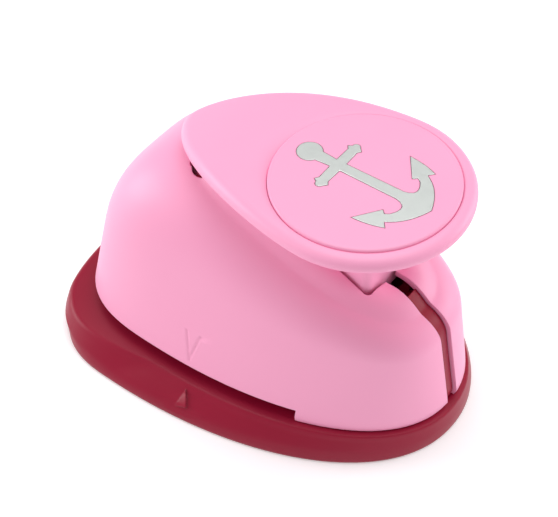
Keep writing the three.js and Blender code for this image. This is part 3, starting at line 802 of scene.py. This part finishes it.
# %% Return springs
def spring_tree():
    tree, given = new_tree(
        "coil springs", Coil_radius="Float", Wire_radius="Float", Wire_width="Float", Turns="Float", Height="Float",
        First_turn="Float", Last_turn="Float", Climb="Float", Foot="Vector", Spacing="Vector", Material="Material")
    spiral = add_node(tree, "GeometryNodeCurveSpiral", {"Resolution": 40}, {
        "Rotations": given["Turns"], "Start Radius": given["Coil radius"], "End Radius": given["Coil radius"],
        "Height": given["Height"]})
    here = add_node(tree, "GeometryNodeInputPosition")
    xyz = add_node(tree, "ShaderNodeSeparateXYZ", links={"Vector": here.outputs[0]})
    height = xyz.outputs["Z"]
    first = add_node(tree, "ShaderNodeMapRange", links={
        "Value": height, "From Max": given["First turn"], "To Max": given["Wire width"]})
    middle = add_node(tree, "ShaderNodeMapRange", links={
        "Value": height, "From Min": given["First turn"], "From Max": given["Last turn"], "To Max": given["Climb"]})
    last = add_node(tree, "ShaderNodeMapRange", links={
        "Value": height, "From Min": given["Last turn"], "From Max": given["Height"],
        "To Max": given["Wire width"]})
    both = add_node(tree, "ShaderNodeMath", links={0: first.outputs[0], 1: middle.outputs[0]}, operation="ADD")
    total = add_node(tree, "ShaderNodeMath", links={0: both.outputs[0], 1: last.outputs[0]}, operation="ADD")
    moved = add_node(tree, "ShaderNodeCombineXYZ", links={
        "X": xyz.outputs["X"], "Y": xyz.outputs["Y"], "Z": total.outputs[0]})
    coil = add_node(tree, "GeometryNodeSetPosition", links={
        "Geometry": spiral.outputs[0], "Position": moved.outputs[0]})
    section = add_node(tree, "GeometryNodeCurvePrimitiveCircle", {"Resolution": 14}, {"Radius": given["Wire radius"]})
    swept = add_node(tree, "GeometryNodeCurveToMesh", {"Fill Caps": True}, {
        "Curve": coil.outputs[0], "Profile Curve": section.outputs[0]})
    places = add_node(tree, "GeometryNodeMeshLine", {"Count": 2}, {
        "Start Location": given["Foot"], "Offset": given["Spacing"]})
    copies = add_node(tree, "GeometryNodeInstanceOnPoints", links={
        "Points": places.outputs[0], "Instance": swept.outputs[0]})
    close_tree(tree, copies.outputs[0], given["Material"])
    return tree


left_low, left_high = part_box("return_spring_left")
right_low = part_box("return_spring_right")[0]
WIRE_R = 0.55 * MM
spring_foot = (left_low + left_high) / 2
spring_foot.z = left_low.z + WIRE_R
SPRING_TURNS = 7
spring_height = left_high.z - left_low.z - 2 * WIRE_R
springs = run_tree(
    "return_springs", spring_tree(), Coil_radius=3.2 * MM, Wire_radius=WIRE_R, Wire_width=2 * WIRE_R,
    Turns=float(SPRING_TURNS), Height=spring_height, First_turn=spring_height / SPRING_TURNS,
    Last_turn=spring_height * (1 - 1 / SPRING_TURNS), Climb=spring_height - 4 * WIRE_R, Foot=spring_foot,
    Spacing=Vector((0, right_low.y - left_low.y, 0)), Material=spring_wire)
shade(springs, 60)
print("springs:", len(springs.data.polygons), "faces")


# %% Screws
def screw_tree():
    tree, given = new_tree(
        "pan head screws", Head_radius="Float", Crown_radius="Float", Crown_depth="Float", Drum_depth="Float",
        Drum_place="Vector", Shank_radius="Float", Length="Float", Shank_place="Vector", Cross_size="Vector",
        Thread_turns="Float", Thread_length="Float", Thread_radius="Float", Thread_place="Vector", Count="Int",
        First="Vector", Spacing="Vector", Material="Material")
    crown = add_node(tree, "GeometryNodeMeshCone", {"Vertices": 40}, {
        "Radius Top": given["Head radius"], "Radius Bottom": given["Crown radius"], "Depth": given["Crown depth"]})
    drum = add_node(tree, "GeometryNodeMeshCylinder", {"Vertices": 40}, {
        "Radius": given["Head radius"], "Depth": given["Drum depth"]})
    drum_up = add_node(tree, "GeometryNodeTransform", links={
        "Geometry": drum.outputs["Mesh"], "Translation": given["Drum place"]})
    shank = add_node(tree, "GeometryNodeMeshCylinder", {"Vertices": 32}, {
        "Radius": given["Shank radius"], "Depth": given["Length"]})
    shank_up = add_node(tree, "GeometryNodeTransform", links={
        "Geometry": shank.outputs["Mesh"], "Translation": given["Shank place"]})
    body = add_node(tree, "GeometryNodeMeshBoolean", operation="UNION", solver="EXACT")
    for part in (crown.outputs["Mesh"], drum_up.outputs[0], shank_up.outputs[0]):
        tree.links.new(part, body.inputs["Mesh 2"])
    bar = add_node(tree, "GeometryNodeMeshCube", links={"Size": given["Cross size"]})
    cross = add_node(tree, "GeometryNodeMeshBoolean", links={"Mesh 1": body.outputs[0]},
                     operation="DIFFERENCE", solver="EXACT")
    for turn in (math.pi / 4, -math.pi / 4):
        turned = add_node(tree, "GeometryNodeTransform", {"Rotation": (0, 0, turn)}, {
            "Geometry": bar.outputs["Mesh"]})
        tree.links.new(turned.outputs[0], cross.inputs["Mesh 2"])
    spiral = add_node(tree, "GeometryNodeCurveSpiral", {"Resolution": 24}, {
        "Rotations": given["Thread turns"], "Start Radius": given["Shank radius"],
        "End Radius": given["Shank radius"], "Height": given["Thread length"]})
    ridge = add_node(tree, "GeometryNodeCurvePrimitiveCircle", {"Resolution": 4}, {
        "Radius": given["Thread radius"]})
    thread = add_node(tree, "GeometryNodeCurveToMesh", {"Fill Caps": True}, {
        "Curve": spiral.outputs[0], "Profile Curve": ridge.outputs[0]})
    thread_up = add_node(tree, "GeometryNodeTransform", links={
        "Geometry": thread.outputs[0], "Translation": given["Thread place"]})
    whole = add_node(tree, "GeometryNodeJoinGeometry")
    tree.links.new(cross.outputs[0], whole.inputs[0])
    tree.links.new(thread_up.outputs[0], whole.inputs[0])
    places = add_node(tree, "GeometryNodeMeshLine", links={
        "Count": given["Count"], "Start Location": given["First"], "Offset": given["Spacing"]})
    copies = add_node(tree, "GeometryNodeInstanceOnPoints", links={
        "Points": places.outputs[0], "Instance": whole.outputs[0]})
    close_tree(tree, copies.outputs[0], given["Material"])
    return tree


def screw_row(name, tree, nodes):
    """A row of equal screws, which stand where the first two of these nodes are, and so on."""
    low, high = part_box(nodes[0])
    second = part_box(nodes[1])[0]
    first = Vector(((low.x + high.x) / 2, (low.y + high.y) / 2, low.z + 0.4 * MM))
    head_r, shank_r, pitch = SCREW_HEAD_R - 0.05 * MM, 1.05 * MM, 1.1 * MM
    head_height = 1.8 * MM
    crown, drum = 0.45 * head_height, 0.55 * head_height
    length = high.z - low.z - 2 * MM
    thread = 0.7 * length
    item = run_tree(
        name, tree, Head_radius=head_r, Crown_radius=0.74 * head_r, Crown_depth=crown, Drum_depth=drum,
        Drum_place=Vector((0, 0, crown + 0.499 * drum)), Shank_radius=shank_r, Length=length,
        Shank_place=Vector((0, 0, length / 2 + crown)), Thread_turns=thread / pitch, Thread_length=thread,
        Cross_size=Vector((1.15 * head_r, 0.26 * head_r, 1.3 * head_height)), Thread_radius=0.32 * pitch,
        Thread_place=Vector((0, 0, 0.28 * length)), Count=len(nodes), First=first, Spacing=second - low,
        Material=screw_steel)
    print(f"{name}: {len(nodes)} screws, {len(item.data.polygons)} faces")
    return shade(item, 35)


pan_head_screws = screw_tree()
base_screws = screw_row("base_screws", pan_head_screws, [f"base_screw_{k}" for k in (1, 2, 3, 4)])
die_screws = screw_row("die_screws", pan_head_screws, ["die_screw_left", "die_screw_right"])

# %% [markdown]
# ## Moulded marks
#
# Two small marks show where the cutter is. A thin V is engraved in the cover, and below it a little wedge
# stands up from the tray's wall, highest along its right side. The mesh is refined inside a small window
# only, and the points in it are moved along their normals.

# %% Marks
MARK_X = -3.6 * MM


def press_mark(item, low, high, cuts, height):
    bm = bmesh.new()
    bm.from_mesh(item.data)
    faces = [f for f in bm.faces if all(low[k] < f.calc_center_median()[k] < high[k] for k in range(3))]
    edges = {edge for face in faces for edge in face.edges}
    bmesh.ops.subdivide_edges(bm, edges=list(edges), cuts=cuts, use_grid_fill=True)
    bm.normal_update()
    for vertex, lift in [(v, height(v.co)) for v in bm.verts if low.x < v.co.x < high.x and low.z < v.co.z < high.z
                         and low.y < v.co.y < high.y]:
        vertex.co += vertex.normal * lift
    bm.to_mesh(item.data)
    bm.free()
    return item


def v_groove(point):
    tip_z, top_z, half = 14.3 * MM, 22.6 * MM, 2.1 * MM
    if not tip_z - 0.4 * MM < point.z < top_z:
        return 0
    spread = half * max(0, point.z - tip_z) / (top_z - tip_z)
    away = abs(abs(point.x - (MARK_X - 1.2 * MM)) - spread)
    return -0.3 * MM * max(0, 1 - away / (0.34 * MM)) ** 0.7


def wedge(point):
    apex_x, apex_z = MARK_X + 0.3 * MM, 6.9 * MM
    down = apex_z - point.z
    left, right = apex_x - 0.2 * down, apex_x + down
    foot_z = 3.4 * MM + 0.24 * (point.x - apex_x + 0.7 * MM)
    if down < 0 or point.z < foot_z or not left < point.x < right:
        return 0
    return 0.55 * MM * (point.x - left) / (right - left) + 0.08 * MM


press_mark(cover, Vector((-9, -40, 12.5)) * MM, Vector((-1, -20, 24)) * MM, 9, v_groove)
press_mark(tray, Vector((-5.5, -46, 2.4)) * MM, Vector((1, -30, 7.6)) * MM, 15, wedge)
print("marks pressed at", round(MARK_X / MM, 1), "mm")

# %% [markdown]
# ## Finishes and bodies
#
# Each rebuilt piece takes the place of its measured node, rides on the same body and gets its material.

# %% Put the pieces on their bodies
def fit(item, body, material, slot, *nodes):
    item.data.materials.clear()
    item.data.materials.append(material)
    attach(item, body)
    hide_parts(*nodes)


fit(tray, "punch_body", crimson_abs, "crimson_plastic", "base_tray")
fit(cover, "punch_body", pink_abs, "pink_plastic", "body_cover")
fit(inner_frame, "punch_body", crimson_abs, "crimson_plastic", "inner_frame")
fit(front_foot, "punch_body", crimson_abs, "crimson_plastic", "front_foot")
fit(slot_strip, "punch_body", crimson_abs, "crimson_plastic", "slot_strip")
fit(lever, "lever_arm", pink_abs, "pink_plastic", "lever")
fit(pad, "lever_arm", pink_abs, "pink_plastic", "lever_disc")
fit(foil, "lever_arm", stamped_foil, "silver_foil", "anchor_emblem")
fit(springs, "punch_body", spring_wire, "spring_steel", "return_spring_left", "return_spring_right")
fit(base_screws, "punch_body", screw_steel, "screw_steel", *[f"base_screw_{k}" for k in (1, 2, 3, 4)])
fit(die_screws, "punch_body", screw_steel, "screw_steel", "die_screw_left", "die_screw_right")

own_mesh(springs)

kept_nodes = {
    cast_zinc: ("die_plate", "guide_plate", "die_spacer_left", "die_spacer_right", "punch_holder", "punch_die"),
    drawn_steel: ("hinge_pin", "guide_post_left", "guide_post_right"),
    grey_nylon: ("plunger_block",),
}
for material, names in kept_nodes.items():
    for name in names:
        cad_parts[name].data.materials.clear()
        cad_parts[name].data.materials.append(material)
print("measured nodes that stay:", sum(len(names) for names in kept_nodes.values()))

# %% [markdown]
# ## Floor and light
#
# A product table: a white acrylic floor that is lit a little from below, an even white room and three soft
# boxes. The big one overhead gives the lever its broad sheen, and one on each side lifts the flanks, so that
# the nose between them is the darkest part of the cover. Soft boxes are large next to the punch, so their
# highlights have no hard edge.

# %% Floor
def table_surface():
    made, tree = new_material("lit white acrylic table")
    place = add_node(tree, "ShaderNodeTexCoord").outputs["Object"]
    tone = add_node(tree, "ShaderNodeTexNoise", {"Scale": per_mm(60), "Detail": 2.0}, {"Vector": place})
    ramp = add_node(tree, "ShaderNodeValToRGB", links={"Fac": tone.outputs["Fac"]})
    ramp.color_ramp.elements[0].color = colour("#F4F3F4")
    ramp.color_ramp.elements[1].color = colour("#F7F6F7")
    shader = add_node(tree, "ShaderNodeBsdfPrincipled", {
        "Roughness": 0.75, "Emission Color": colour("#FFFFFF"), "Emission Strength": 0.22}, {
        "Base Color": ramp.outputs["Color"]})
    finish_material(tree, shader)
    return made


FLOOR_HALF = 8.0
floor = new_object("floor", [(-FLOOR_HALF, -FLOOR_HALF, 0), (FLOOR_HALF, -FLOOR_HALF, 0),
                             (FLOOR_HALF, FLOOR_HALF, 0), (-FLOOR_HALF, FLOOR_HALF, 0)], [(0, 1, 2, 3)])
floor.data.materials.append(table_surface())
floor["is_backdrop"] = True


# %% Light
def soft_box(name, place, aim, size, watts):
    lamp = bpy.data.lights.new(name, "AREA")
    lamp.shape = "RECTANGLE"
    lamp.size, lamp.size_y = size
    lamp.energy = watts
    item = bpy.data.objects.new(name, lamp)
    item.location = place
    item.rotation_euler = (Vector(aim) - Vector(place)).to_track_quat("-Z", "Y").to_euler()
    bpy.context.scene.collection.objects.link(item)


AIM = (0, 0, 0.03)
soft_box("overhead box", (-0.05, 0.15, 0.8), AIM, (0.7, 0.6), 3.2)
soft_box("left box", (-0.7, -0.3, 0.3), AIM, (0.5, 0.4), 3.0)
soft_box("right box", (0.5, 0.6, 0.3), AIM, (0.5, 0.4), 2.4)

room = bpy.data.worlds.new("white room")
room.use_nodes = True
room.node_tree.nodes["Background"].inputs["Color"].default_value = colour("#FFFFFF")
room.node_tree.nodes["Background"].inputs["Strength"].default_value = 0.52
bpy.context.scene.world = room
bpy.context.scene.view_settings.view_transform = "Standard"

# %% [markdown]
# ## Sizes and finish
#
# Both the box of what shows and the box of the measured model are printed.

# %% Sizes and finish
shown_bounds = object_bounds()
print("measured", [tuple(round(v / MM, 1) for v in corner) for corner in cad_bounds])
print("shown   ", [tuple(round(v / MM, 1) for v in corner) for corner in shown_bounds])
corners = {"cad": cad_bounds, "visual": shown_bounds}
{name: [list(corner) for corner in pair] for name, pair in corners.items()}
